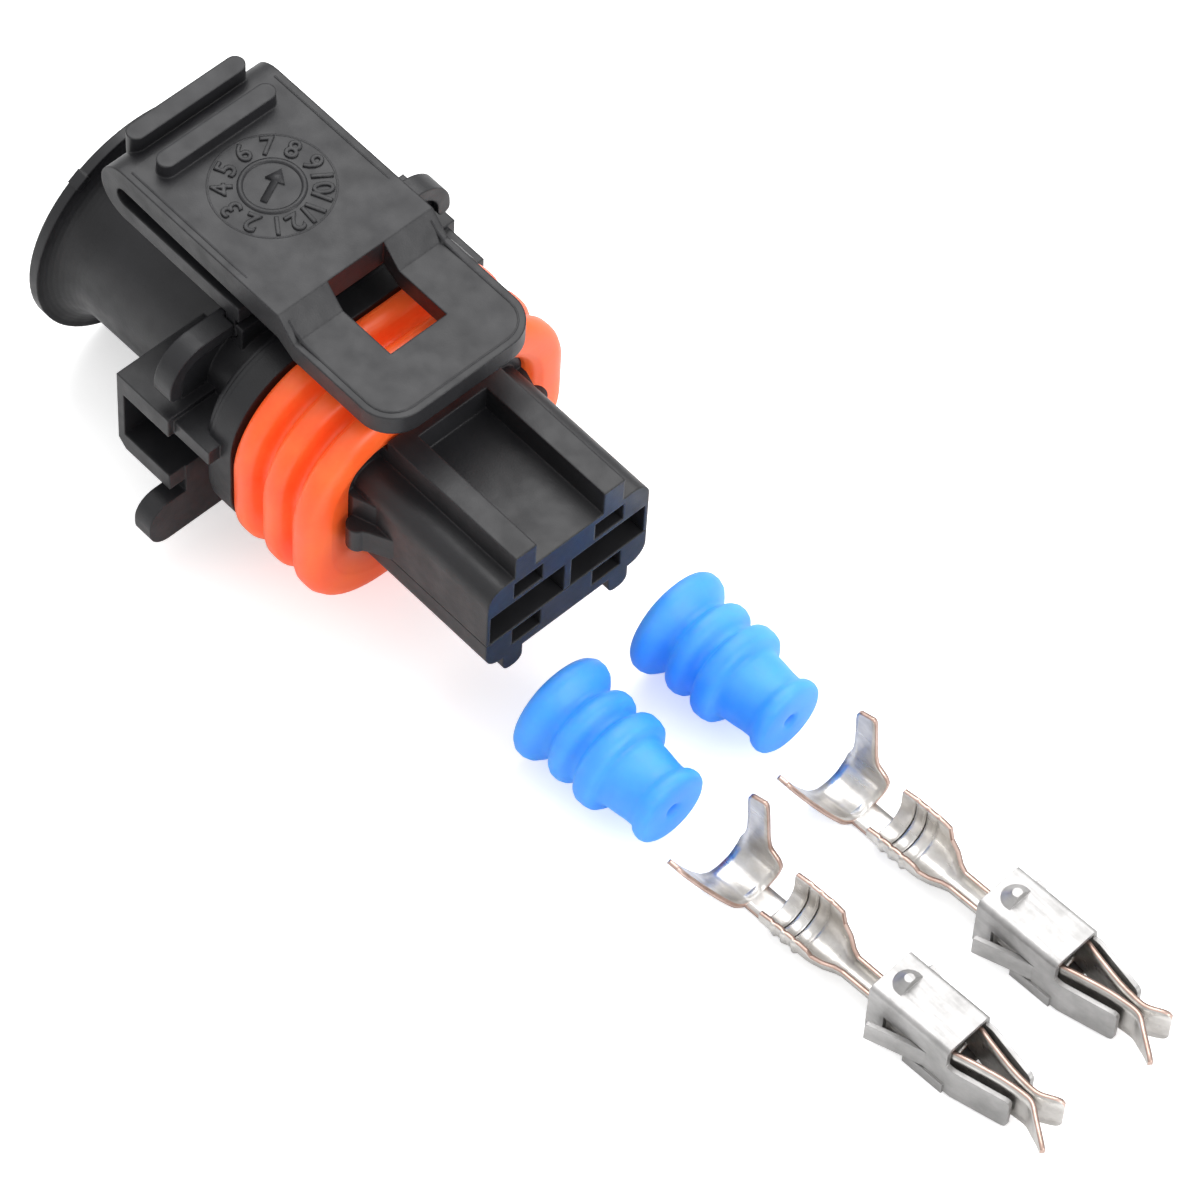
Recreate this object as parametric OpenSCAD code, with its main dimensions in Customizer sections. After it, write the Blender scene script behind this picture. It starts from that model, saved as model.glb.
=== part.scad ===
// Two-way sealed automotive connector, laid out as a kit: housing with its
// latch lever and secondary lock, perimeter seal, two wire seals and two
// female terminals. X points the way the connector mates, Z is up, and the
// origin is the middle of the mating face.

/* [Nose] */
// Pitch of the two contact cavities
pitch = 5; // [4.9:0.05:5.6]
// Width of the nose
nose_w = 10; // [9.9:0.1:11]
// Height of the nose above the contact axis
nose_top = 2.88; // [2.8:0.02:3.4]
// Depth of the nose below the contact axis
nose_bottom = 3; // [2.9:0.05:3.6]
// Length of the nose in front of the seal seat
nose_l = 8; // [7:0.1:11]
// Radius of the upper edges of the nose
nose_r = 1; // [0.6:0.1:1.3]
// Width of each guide rib on the nose
guide_rib_w = 1.26; // [0.8:0.02:1.5]
// Height of each guide rib above the nose
guide_rib_h = 1.52; // [0.8:0.02:2]
// Distance between the guide ribs
guide_rib_gap = 4.2; // [3.6:0.1:4.6]

/* [Cavities] */
// Width of a contact cavity
cavity_w = 3.6; // [3.4:0.05:3.9]
// Height of a contact cavity
cavity_h = 3.2; // [3:0.05:3.4]
// Width of a tab mouth
mouth_w = 4.6; // [4:0.05:4.7]
// Height of a tab mouth
mouth_h = 2.04; // [1.6:0.02:2.3]
// Depth of a tab mouth
mouth_l = 1.2; // [0.8:0.1:2]
// Width of the release windows
window_w = 1.78; // [1.2:0.02:2]
// Height of the release windows
window_h = 1.17; // [0.8:0.01:1.25]
// Web between a mouth and the upper window
upper_web = 0.28; // [0.2:0.01:0.4]
// Web between a mouth and the lower window
lower_web = 0.19; // [0.15:0.01:0.4]
// Length of the release channels
window_l = 5; // [3:0.5:6]

/* [Secondary lock] */
// Clearance round the secondary lock
lock_clear = 0.05; // [0.04:0.01:0.1]
// Travel from locked to released
lock_travel = 0.8; // [0.6:0.05:1]
// Length of the locking bar behind the contacts
lock_bar_l = 0.8; // [0.6:0.1:1.2]
// Width of the guide tongue
tongue_w = 0.6; // [0.4:0.05:0.8]
// Length of the guide tongue
tongue_l = 2.4; // [1.6:0.1:3]
// Height of the guide tongue
tongue_h = 2; // [1.6:0.1:2.3]
// Width of a keying foot
foot_w = 1.2; // [0.9:0.1:1.5]
// Height of a keying foot
foot_h = 1.15; // [0.7:0.05:1.3]
// Length of a keying foot
foot_l = 0.9; // [0.6:0.1:2]

/* [Seal seat] */
// Width of the core under the perimeter seal
core_w = 10.9; // [10.6:0.1:11.4]
// Height of the core above the contact axis
core_top = 3.7; // [3.5:0.05:3.9]
// Depth of the core below the contact axis
core_bottom = 3.7; // [3.6:0.1:4.4]
// Corner radius of the core
core_r = 1.8; // [1.2:0.1:2.4]
// Width of the collar behind the perimeter seal
collar_w = 15.7; // [15:0.1:16]
// Thickness of the collar
collar_l = 1.9; // [1.4:0.1:2]
// Depth of the collar below the contact axis
collar_bottom = 6.1; // [5.8:0.1:6.4]
// Corner radius of the collar
collar_r = 4.2; // [3.6:0.1:4.6]
// Drop of the middle of the perimeter seal below the contact axis
seal_drop = 0.65; // [0.5:0.05:0.8]

/* [Perimeter seal] */
// Width over the lips
seal_w = 16.1; // [15.9:0.1:16.6]
// Height over the lips
seal_h = 12.5; // [12.3:0.1:12.9]
// Corner radius of the lips
seal_r = 5; // [4.6:0.1:5.6]
// Radius of each lip
lip_r = 0.75; // [0.6:0.01:0.8]
// Pitch of the lips
lip_pitch = 2.05; // [1.8:0.05:2.3]
// Number of lips
lips = 3; // [2:1:3]
// Clearance between the seal and the core
seal_fit = 0.03; // [0.02:0.01:0.08]

/* [Flange] */
// Width of the flange arch
arch_w = 17.3; // [17:0.1:18]
// Height of the flange arch above the contact axis
arch_top = 5.45; // [5.3:0.05:5.6]
// Radius of the arch shoulders
arch_r = 2.1; // [1.6:0.1:2.6]
// Thickness of the arch band
arch_band = 0.75; // [0.5:0.05:1]
// Length of the arch band along the axis
arch_l = 1.15; // [1:0.05:1.3]
// Height of the free ends of the arch above the contact axis
arch_end = 2.7; // [2.5:0.1:3.2]
// Thickness of the web inside the arch
web_t = 0.7; // [0.5:0.05:0.9]
// Width of the foot plate
foot_plate_w = 20.4; // [19:0.1:21]
// Height of the foot plate
foot_plate_h = 2.8; // [2:0.1:3]
// Depth of the foot plate below the contact axis
foot_plate_z = 7.4; // [7:0.1:7.6]

/* [Side boxes] */
// Width over the side boxes
box_w = 17.8; // [17.4:0.1:18.4]
// Length of a side box
box_l = 3.65; // [3.2:0.05:4.2]
// Height of the top of the side boxes
box_top = 1.75; // [1.5:0.05:2]
// Depth of the bottom of the side boxes
box_bottom = 3.7; // [3.4:0.1:4]
// Wall above the side pocket
box_roof = 1.25; // [1:0.05:1.4]
// Wall below the side pocket
box_floor = 1.1; // [0.8:0.05:1.3]
// Wall behind the side pocket
box_back = 0.45; // [0.4:0.05:0.8]
// Depth of the side pocket
pocket_d = 2.5; // [2:0.1:2.7]

/* [Rear tube] */
// Radius of the rear tube at the body
tube_r = 5.15; // [5.1:0.05:5.4]
// Bore radius of the rear tube
tube_bore = 4.55; // [4.55:0.05:4.7]
// Drop of the tube axis below the contact axis
tube_drop = 2; // [1.8:0.05:2.2]
// Distance from the mating face to the rear end
total_l = 30.3; // [29.5:0.1:32]
// Radius of the flared rim
rim_r = 6.76; // [6.4:0.02:7]
// Thickness of the flared rim
rim_t = 0.55; // [0.4:0.05:0.8]
// Length of the flare
flare_l = 1.7; // [1.4:0.1:2.4]
// Depth of the open rear chamber
chamber_l = 7.8; // [6:0.1:8]
// Radius of the wire seal bores
seal_bore_r = 1.9; // [1.6:0.05:1.95]
// Length of the wire seal bores
seal_bore_l = 6; // [5:0.1:6.5]
// Drop of the wire seal bores below the contact axis
seal_bore_drop = 1.2; // [1.15:0.05:1.6]

/* [Latch lever] */
// Width of the lever
lever_w = 9.44; // [9:0.02:9.6]
// Height of the top of the upper plate
lever_z = 9.1; // [9:0.05:9.6]
// Thickness of the upper plate
plate_t = 1.22; // [1:0.02:1.3]
// Growth of the upper plate towards the latch window
plate_grow = 0.4; // [0:0.05:0.5]
// Thickness of the front plate
front_t = 1.15; // [0.9:0.05:1.3]
// Thickness of the lower leg
leg_t = 1; // [0.9:0.05:1.05]
// Drop from the upper plate to the front plate
lever_step = 1.15; // [0.8:0.05:1.3]
// Place of the front end of the lever
lever_front = 7.15; // [6.8:0.05:7.6]
// Place of the rear end of the lever
lever_rear = 27.1; // [26.5:0.1:27.6]
// Radius of the bend
bend_r = 1.64; // [1.55:0.01:1.7]
// Radius of the front corners
lever_corner_r = 1.9; // [1.2:0.1:2.4]
// Width of the latch window
latch_window_w = 3.42; // [3:0.02:4]
// Length of the latch window
latch_window_l = 4.35; // [3.8:0.05:4.6]
// Place of the rear edge of the latch window
latch_window_x = 14.75; // [14.5:0.05:15]
// Length of the ramp between the plates
ramp_l = 1.1; // [0.8:0.05:1.4]
// Length of the finger ribs
finger_rib_l = 7; // [6:0.1:8]
// Width of the finger ribs
finger_rib_w = 1; // [0.8:0.05:1.2]
// Height of the finger ribs
finger_rib_h = 0.8; // [0.5:0.05:1]
// Distance between the finger ribs
finger_rib_pitch = 2.15; // [1.8:0.05:2.6]
// Radius of the hinge root
root_r = 0.45; // [0.42:0.01:0.5]
// Thickness of the neck above the hinge root
neck_t = 0.6; // [0.5:0.02:0.62]
// Wall of the saddle round the hinge root
saddle_t = 0.4; // [0.35:0.05:0.6]
// Running clearance of the hinge
hinge_clear = 0.05; // [0.04:0.01:0.08]

/* [Wire seals] */
// Radius over the lips of a wire seal
wire_seal_r = 2.85; // [2.6:0.05:3.1]
// Length of a wire seal
wire_seal_l = 8; // [7.6:0.1:8.5]
// Radius of the neck
wire_neck_r = 1.85; // [1.7:0.05:1.95]
// Radius of the end bulge
wire_end_r = 2.15; // [2:0.05:2.25]
// Radius of the wire hole
wire_hole_r = 0.5; // [0.4:0.05:0.9]

/* [Terminals] */
// Sheet thickness of a terminal
sheet_t = 0.32; // [0.25:0.01:0.35]
// Width of the spring cage
cage_w = 2.85; // [2.7:0.05:3]
// Height of the spring cage
cage_h = 3.4; // [3.2:0.05:3.6]
// Length of the spring cage
cage_l = 4.8; // [4.4:0.1:5.4]
// Sheet thickness of the spring cage
cage_t = 0.25; // [0.2:0.01:0.3]
// Clearance between the cage and the contact
cage_fit = 0.04; // [0.03:0.01:0.06]
// Place where the contact arms meet in front of the cage
arm_l = 4; // [3.8:0.1:4.4]
// Length of the lead-in of the near contact arm
lead_near = 2.1; // [1.4:0.1:2.3]
// Length of the lead-in of the far contact arm
lead_far = 1.15; // [0.9:0.05:1.6]
// Width of the contact arms
arm_w = 2.2; // [1.8:0.05:2.4]
// Length of the wire barrel
barrel_l = 3; // [2.6:0.1:3.4]
// Radius of the wire barrel
barrel_r = 1.35; // [1.2:0.05:1.45]
// Radius of the insulation barrel
grip_r = 1.6; // [1.5:0.05:1.8]
// Length of the insulation wings
wing_l = 4.4; // [3.6:0.1:5]
// Height of the near guard of the cage
guard_near = 2.1; // [1.6:0.1:2.3]
// Height of the far guard of the cage
guard_far = 2.7; // [2:0.1:2.9]
// Length of the guards in front of the cage
guard_l = 3.3; // [3:0.1:3.5]
// Length of the side lances
lance_l = 3; // [2.4:0.1:3.2]
// Width of the side lances
lance_w = 1.2; // [0.9:0.05:1.4]

/* [Layout] */
// Distance between the wire seals
seal_row_pitch = 7.3; // [6.8:0.1:9]
// Distance between the terminals
terminal_row_pitch = 6.85; // [6.6:0.05:9]
// Rear end of the wire seals in front of the mating face
seal_row_x = 2; // [1:0.1:4]
// Rear end of the spring cages in front of the mating face
terminal_row_x = 22.9; // [22.5:0.1:26]

/* [Hidden] */
$fn = 64;
eps = 0.01;

black = [0.07, 0.07, 0.075];
lock_black = [0.1, 0.1, 0.105];
orange = [0.95, 0.3, 0.08];
blue = [0.12, 0.45, 0.93];
tin = [0.78, 0.77, 0.75];
steel = [0.7, 0.7, 0.7];

floor_z = -tube_drop - rim_r;      // surface that the kit lies on
lock_z = -mouth_h / 2;             // split between nose and secondary lock
front_wall_l = 0.7;                // wall in front of the perimeter seal
collar_round = 0.7;                // rounding of the collar's rear edge
seal_front = nose_l + front_wall_l + 0.15;
seal_l = (lips - 1) * lip_pitch + 2 * lip_r;
collar_x = seal_front + seal_l + 0.05;
waist_x = collar_x + collar_l;
flange_x = 17.2;                   // front of the hinge saddle
saddle_l = 1.7;                    // length of the hinge saddle
arch_x = flange_x + 0.55;          // front of the arch band
box_x = flange_x + 0.45;
seal_top = seal_h / 2 - seal_drop;
hinge_x = flange_x + saddle_l / 2;
hinge_z = arch_top - root_r - 0.17;

// Extrudes an outline given in Y and Z along X, from -x1 to -x0.
module along_x(x0, x1) {
  translate([-x1, 0, 0]) rotate([90, 0, 90]) linear_extrude(x1 - x0) children();
}

// Extrudes an outline given in X and Z along Y, centred on the axis.
module along_y(w) {
  rotate([90, 0, 0]) linear_extrude(w, center = true) children();
}

// Rounded rectangle from the corner (x0, y0) to the corner (x1, y1).
module rounded(x0, y0, x1, y1, r) {
  translate([x0 + r, y0]) square([x1 - x0 - 2 * r, y1 - y0]);
  translate([x0, y0 + r]) square([x1 - x0, y1 - y0 - 2 * r]);
  for (x = [x0 + r, x1 - r], y = [y0 + r, y1 - r]) translate([x, y]) circle(r);
}

// Rounded rectangle about the middle of the perimeter seal.
module seal_outline(w, h, r) {
  rounded(-w / 2, -h / 2 - seal_drop, w / 2, h / 2 - seal_drop, r);
}

// Outline of the nose, with its upper edges rounded to r.
module nose_outline(r) {
  low = 0.9;
  rounded(-nose_w / 2, -nose_bottom, nose_w / 2, nose_top, r);
  translate([-nose_w / 2 + low, -nose_bottom]) square([nose_w - 2 * low, nose_bottom]);
}

module nose() {
  along_x(0, nose_l + eps) nose_outline(nose_r);
}

module guide_ribs() {
  for (s = [-1, 1]) along_x(0, nose_l + eps)
    translate([s * (guide_rib_gap + guide_rib_w) / 2 - guide_rib_w / 2, nose_top - 1])
      square([guide_rib_w, 1 + guide_rib_h]);
}

// Wall that closes the nose in front of the perimeter seal.
module front_wall() {
  w = guide_rib_gap + 2 * guide_rib_w;
  along_x(nose_l, seal_front + 0.4) union() {
    nose_outline(nose_r);
    translate([-w / 2, 0]) square([w, min(core_top, nose_top + guide_rib_h)]);
  }
  along_x(nose_l, nose_l + front_wall_l)
    translate([-w / 2, 0]) square([w, nose_top + guide_rib_h]);
}

// Side lugs that hold the perimeter seal on its seat, on a flared root.
module seal_lugs() {
  lug_r = 0.55;
  lug_out = 1.1;
  x = -seal_front + 0.05;
  y = nose_w / 2;
  for (s = [-1, 1]) scale([1, s, 1]) {
    translate([0, 0, -1]) linear_extrude(1.5) {
      translate([x + lug_r, y + lug_out - lug_r]) circle(lug_r, $fn = 32);
      polygon([[x, y - 1], [x, y + lug_out - lug_r], [x + lug_r, y + lug_out],
               [x + 1.3, y + 0.55], [x + 2.4, y - eps], [x + 2.4, y - 1]]);
    }
    translate([0, 0, lock_z]) linear_extrude(nose_top - nose_r - lock_z) polygon(concat(
      [[x - 0.4, y - 1], [x - 0.4, core_w / 2 - 0.05]],
      [for (a = [0:15:90]) [x + 1.2 * sin(a), y + (core_w / 2 - 0.05 - y) * (1 - sin(a))]],
      [[x + 1.2, y - 1]]));
  }
}

module core() {
  along_x(seal_front + 0.35, collar_x + eps)
    rounded(-core_w / 2, -core_bottom, core_w / 2, core_top, core_r);
}

module collar() {
  top = seal_top - 0.3;
  steps = 4;
  along_x(collar_x, waist_x - collar_round)
    rounded(-collar_w / 2, -collar_bottom, collar_w / 2, top, collar_r);
  for (i = [1:steps]) {
    a = 90 * i / steps;
    c = collar_round * (1 - cos(a - 45 / steps));
    along_x(collar_x, waist_x - collar_round * (1 - sin(a)))
      rounded(-collar_w / 2 + c, -collar_bottom + c, collar_w / 2 - c, top - c,
              collar_r - c);
  }
}

module waist() {
  along_x(waist_x - eps, flange_x + arch_l)
    rounded(-6, -collar_bottom + 0.3, 6, arch_top - 1.2, 2.4);
}

// Outline of the arch, narrowed all round by inset.
module arch_outline(inset) {
  rounded(-arch_w / 2 + inset, -arch_r, arch_w / 2 - inset, arch_top - inset,
          arch_r - inset);
}

module flange() {
  y = (arch_w - arch_band) / 2;
  z = arch_end + arch_band / 2;
  along_x(arch_x, arch_x + arch_l) {
    difference() {
      arch_outline(0);
      arch_outline(arch_band);
      translate([-arch_w, z - 2 * arch_w]) square(2 * arch_w);
    }
    for (s = [-1, 1]) translate([s * y, z]) circle(arch_band / 2);
  }
  along_x(arch_x + arch_l - web_t, arch_x + arch_l) {
    difference() {
      arch_outline(arch_band / 2);
      translate([-arch_w, z - 2 * arch_w]) square(2 * arch_w);
    }
    translate([-y + arch_band, 0]) square([2 * (y - arch_band), z]);
  }
}

module foot_plate() {
  lug_r = 1.2;
  along_x(box_x - 0.05, box_x + 1.05)
    rounded(-foot_plate_w / 2, -foot_plate_z, foot_plate_w / 2,
            -foot_plate_z + foot_plate_h, lug_r);
  along_x(box_x - 0.05, box_x + web_t)
    translate([-box_w / 2 + 0.95, -foot_plate_z + lug_r])
      square([box_w - 1.9, foot_plate_z - lug_r - box_bottom + box_floor]);
}

module side_boxes() {
  rear = box_x + box_l;
  bevel = 0.5;
  difference() {
    along_y(box_w) polygon([
      [-rear, box_top], [-box_x, box_top], [-box_x, -box_bottom],
      [-rear + bevel, -box_bottom], [-rear, -box_bottom + bevel]]);
    for (s = [-1, 1]) translate([-rear + box_back, s * box_w / 2, -box_bottom + box_floor])
      translate([0, s > 0 ? -pocket_d : -1, 0])
        cube([box_l, pocket_d + 1, box_top + box_bottom - box_roof - box_floor]);
  }
  shelf_t = 0.95;
  translate([-box_x - 1, -box_w / 2 + 0.35, box_top - box_roof])
    cube([box_x + 1 - waist_x + 1.2, box_w - 0.7, shelf_t]);
}

// Turns an outline given as [radius, distance behind the mating face].
module about_tube() {
  translate([0, 0, -tube_drop]) rotate([0, -90, 0]) rotate_extrude($fn = 96) children();
}

module rear_tube() {
  flare_x = total_l - rim_t - flare_l;
  flare_h = rim_r - tube_r - 0.15;
  about_tube() polygon(concat(
    [[0, flange_x], [tube_r, flange_x], [tube_r + 0.1, flare_x]],
    [for (a = [10:10:90]) [tube_r + 0.1 + flare_h * (1 - cos(a)),
                           flare_x + flare_l * sin(a)]],
    [[rim_r, total_l - rim_t], [rim_r, total_l], [0, total_l]]));
  nub_a = 34;
  translate([-total_l, 0, -tube_drop]) rotate([nub_a, 0, 0])
    translate([0, -0.4, rim_r - 0.3]) cube([rim_t + 0.1, 0.8, 0.42]);
}

module rear_chamber() {
  mouth = 1.2;
  about_tube() polygon(concat(
    [[0, total_l - chamber_l], [tube_bore, total_l - chamber_l],
     [tube_bore, total_l - 2.2]],
    [for (a = [15:15:90]) [tube_bore + mouth * (1 - cos(a)),
                           total_l - 2.2 + 2.2 * sin(a)]],
    [[tube_bore + mouth, total_l + 1], [0, total_l + 1]]));
}

module wire_bores() {
  x = total_l - chamber_l - seal_bore_l;
  for (s = [-1, 1]) translate([-total_l + chamber_l - eps, s * pitch / 2, -seal_bore_drop])
    rotate([0, 90, 0]) cylinder(r = seal_bore_r, h = total_l - chamber_l - x + eps);
}

module cavities() {
  rear = total_l - chamber_l - seal_bore_l + eps;
  for (s = [-1, 1]) translate([0, s * pitch / 2, 0]) {
    along_x(mouth_l - eps, rear) square([cavity_w, cavity_h], center = true);
    along_x(waist_x - 2, rear) translate([-cavity_w / 2, -cavity_h / 2 - seal_bore_drop])
      square([cavity_w, cavity_h]);
    along_x(-1, mouth_l) square([mouth_w, mouth_h], center = true);
    along_x(-1, window_l) translate([-window_w / 2, mouth_h / 2 + upper_web])
      square([window_w, window_h]);
  }
}

// Space below the nose for the secondary lock, and the slot for its tongue.
module lock_space() {
  along_x(-1, nose_l) translate([-nose_w, -2 * nose_w + lock_z])
    square(2 * nose_w);
  tongue(lock_clear);
}

// Saddle in the arch that holds the round root of the lever.
module hinge_saddle() {
  along_y(lever_w) translate([-flange_x - saddle_l, hinge_z - root_r - saddle_t])
    square([saddle_l, arch_top - hinge_z + root_r + saddle_t]);
}

module hinge_bore() {
  neck = neck_t / 2 + hinge_clear;
  lean = (arch_top - hinge_z) * 0.15;
  along_y(lever_w + 0.12) translate([-hinge_x, hinge_z]) {
    circle(root_r + hinge_clear);
    polygon([[neck, 0], [neck, 2], [-neck - 2 * lean, 2], [-neck - lean, arch_top - hinge_z],
             [-neck, 0]]);
  }
}

module housing() {
  color(black) difference() {
    union() {
      nose();
      guide_ribs();
      front_wall();
      seal_lugs();
      core();
      collar();
      waist();
      flange();
      foot_plate();
      side_boxes();
      rear_tube();
      hinge_saddle();
    }
    lock_space();
    cavities();
    wire_bores();
    rear_chamber();
    hinge_bore();
  }
}

// Tongue that guides the secondary lock, grown by a clearance for its slot.
module tongue(c) {
  x = nose_l / 2 - 0.2;
  translate([-x - tongue_l / 2 - c, -tongue_w / 2 - c, lock_z - 1])
    cube([tongue_l + 2 * c, tongue_w + 2 * c, tongue_h + 1 + 2 * c]);
}

module keying_feet() {
  low = 0.5;
  for (s = [-1, 1]) {
    y = s * (pitch / 2 + 0.8);
    along_x(0, foot_l) translate([y, 0])
      rounded(-foot_w / 2, -nose_bottom - foot_h, foot_w / 2, -nose_bottom + 1, low);
  }
}

module secondary_lock() {
  top = lock_z - lock_clear;
  color(lock_black) {
    difference() {
      union() {
        along_x(0, nose_l - lock_clear) nose_outline(nose_r);
        keying_feet();
      }
      translate([-2 * nose_l, -nose_w, top]) cube([4 * nose_l, 2 * nose_w, 2 * nose_w]);
      for (s = [-1, 1]) translate([0, s * pitch / 2, 0]) {
        along_x(mouth_l, nose_l - lock_bar_l) translate([-cavity_w / 2, -cavity_h / 2])
          square([cavity_w, cavity_h]);
        along_x(-1, window_l) translate([-window_w / 2, lock_z - lower_web - window_h])
          square([window_w, window_h]);
      }
    }
    tongue(0);
  }
}

// Side profile of the lever: plates, ramp, bend and lower leg.
module lever_profile() {
  bend_x = -lever_rear + bend_r;
  bend_z = lever_z - bend_r;
  gap_r = bend_r - (plate_t + leg_t) / 2;
  gap_z = lever_z - plate_t - gap_r;
  front_z = lever_z - lever_step;
  ramp_x = -latch_window_x + ramp_l;
  leg_z = bend_z - bend_r;
  polygon([
    [bend_x, lever_z - plate_t], [bend_x, lever_z], [-latch_window_x, lever_z],
    [ramp_x, front_z], [-lever_front, front_z], [-lever_front, front_z - front_t],
    [ramp_x, front_z - front_t], [-latch_window_x, lever_z - plate_t - plate_grow]]);
  difference() {
    translate([bend_x, bend_z]) circle(bend_r);
    translate([bend_x, gap_z]) circle(gap_r);
    translate([bend_x, bend_z - 2 * bend_r]) square(4 * bend_r);
  }
  translate([bend_x, leg_z]) square([-hinge_x + neck_t - bend_x, leg_t]);
  translate([-hinge_x - neck_t / 2, hinge_z]) square([neck_t, leg_z + leg_t / 2 - hinge_z]);
  translate([-hinge_x, hinge_z]) circle(root_r);
}

module finger_rib(x) {
  l = finger_rib_l - finger_rib_w;
  translate([x, 0, lever_z - plate_t / 2]) linear_extrude(plate_t / 2 + finger_rib_h) {
    square([finger_rib_w, l], center = true);
    for (s = [-1, 1]) translate([0, s * l / 2]) circle(finger_rib_w / 2, $fn = 32);
  }
}

module latch_lever() {
  color(black) {
    difference() {
      intersection() {
        along_y(lever_w) lever_profile();
        linear_extrude(3 * lever_z) union() {
          rounded(-lever_rear - 1, -lever_w / 2, -lever_front, lever_w / 2,
                  lever_corner_r);
          translate([-lever_rear - 1, -lever_w / 2]) square([lever_rear / 2, lever_w]);
        }
      }
      translate([-latch_window_x, -latch_window_w / 2, lever_z - 3 * plate_t])
        cube([latch_window_l, latch_window_w, 4 * plate_t]);
    }
    for (i = [0, 1]) finger_rib(-lever_rear + 0.55 + i * finger_rib_pitch);
  }
}

// Lip of the perimeter seal, swept round the corners and along the sides.
module seal_lip(x) {
  w = seal_w / 2 - seal_r;
  h = seal_h / 2 - seal_r;
  translate([-x, 0, -seal_drop]) rotate([90, 0, 90]) {
    for (i = [0:3]) {
      sx = (i == 0 || i == 3) ? 1 : -1;
      sy = i < 2 ? 1 : -1;
      translate([sx * w, sy * h, 0]) rotate([0, 0, 90 * i])
        rotate_extrude(angle = 90) lip_section(seal_r);
    }
    for (s = [0, 180]) rotate([0, 0, s]) {
      translate([w, h, 0]) rotate([90, 0, 0]) linear_extrude(2 * h) lip_section(seal_r);
      translate([-w, h, 0]) rotate([90, 0, 90]) linear_extrude(2 * w) lip_section(seal_r);
    }
  }
}

// Section of a lip whose crest is at the distance r.
module lip_section(r) {
  translate([r - lip_r, 0]) circle(lip_r, $fn = 32);
  translate([r - lip_r - 0.6, -lip_r]) square([0.6, 2 * lip_r]);
}

module perimeter_seal() {
  base = 0.9;
  color(orange) {
    along_x(seal_front, seal_front + seal_l) difference() {
      seal_outline(seal_w - 2 * base, seal_h - 2 * base, seal_r - base);
      rounded(-core_w / 2 - seal_fit, -core_bottom - seal_fit, core_w / 2 + seal_fit,
              core_top + seal_fit, core_r);
    }
    for (i = [0:lips - 1]) seal_lip(seal_front + lip_r + i * lip_pitch);
  }
}

// Wire seal lying on the floor, with its flange at the rear.
module wire_seal(y) {
  r = wire_seal_r;
  valley = r - 0.85;
  tip = 0.4;
  translate([seal_row_x, y, floor_z + r]) rotate([0, 0, 2.5]) rotate([0, 90, 0])
    color(blue) rotate_extrude(convexity = 6) difference() {
      union() {
        polygon([[0, 0], [r - 0.4, 0], [r, 0.3], [r - 0.06, 0.62], [valley + 0.1, 1.2],
                 [valley, 1.5], [valley, 5], [wire_neck_r, 5.15], [wire_neck_r - 0.07, 6.6],
                 [wire_neck_r, wire_seal_l - 0.7], [wire_neck_r, wire_seal_l - 0.3],
                 [0, wire_seal_l - 0.3]]);
        for (x = [2.4, 4.35]) {
          translate([r - 0.2 - tip, x]) circle(tip, $fn = 32);
          polygon([[valley - 0.2, x - 0.85], [valley, x - 0.8], [r - 0.2 - tip, x - tip],
                   [r - 0.2 - tip, x + tip], [valley, x + 0.8], [valley - 0.2, x + 0.85]]);
        }
        translate([wire_end_r - 0.4, wire_seal_l - 0.4]) circle(0.4, $fn = 32);
        translate([0, wire_seal_l - 0.8]) square([wire_end_r - 0.4, 0.8]);
      }
      translate([-eps, -1]) square([wire_hole_r + eps, wire_seal_l + 2]);
      translate([-5, -1]) square([5, wire_seal_l + 2]);
    }
}

module wire_seal_left() { wire_seal(-2.4); }
module wire_seal_right() { wire_seal(-2.4 + seal_row_pitch); }

// Places a terminal on the floor: x runs forward from the rear of its cage.
module terminal_place(y) {
  translate([terminal_row_x, y, floor_z]) rotate([0, 0, 3]) children();
}

// Strip of sheet along a path of points, of thickness t.
module strip(points, t) {
  for (i = [0:len(points) - 2]) {
    d = points[i + 1] - points[i];
    translate(points[i]) rotate(atan2(d[1], d[0])) translate([0, -t / 2])
      square([norm(d), t]);
  }
  for (i = [1:len(points) - 2]) translate(points[i]) circle(t / 2, $fn = 24);
}

// Open barrel with upright walls that end at the heights z0 and z1.
module barrel(r, z0, z1) {
  m = r - sheet_t / 2;
  translate([0, r]) strip(concat([[-m, z0 - r]],
    [for (a = [180:15:360]) m * [cos(a), sin(a)]], [[m, z1 - r]]), sheet_t);
}

// Contact arm on the side s; its outline keeps the tip narrow or round.
module contact_arm(s) {
  inner = cage_w / 2 - cage_t - cage_fit - sheet_t / 2;
  low = (cage_h - arm_w) / 2;
  touch = sheet_t / 2 + 0.03;
  meet = cage_l + arm_l;
  lead = s < 0 ? lead_near : lead_far;
  out = s < 0 ? 0.76 : 0.55;
  intersection() {
    translate([0, 0, low]) linear_extrude(arm_w) strip([
      [0.4, s * inner], [cage_l - 0.2, s * inner], [meet - 1.6, s * (touch + 0.14)],
      [meet - 0.2, s * touch], [meet + 0.2, s * (touch + 0.1)],
      [meet + lead, s * (touch + 0.1 + out * (lead - 0.2))]], sheet_t);
    along_y(4 * cage_w) if (s < 0) polygon([
      [0, low], [meet + 0.3, low], [meet + lead - 0.5, low + arm_w - 0.75],
      [meet + lead + 0.1, low + arm_w - 0.45], [meet + lead + 0.1, low + arm_w - 0.1],
      [meet + lead - 0.1, low + arm_w], [0, low + arm_w]]);
    else rounded(-0.4, low, meet + lead + 0.1, low + arm_w, 0.35);
  }
}

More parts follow.
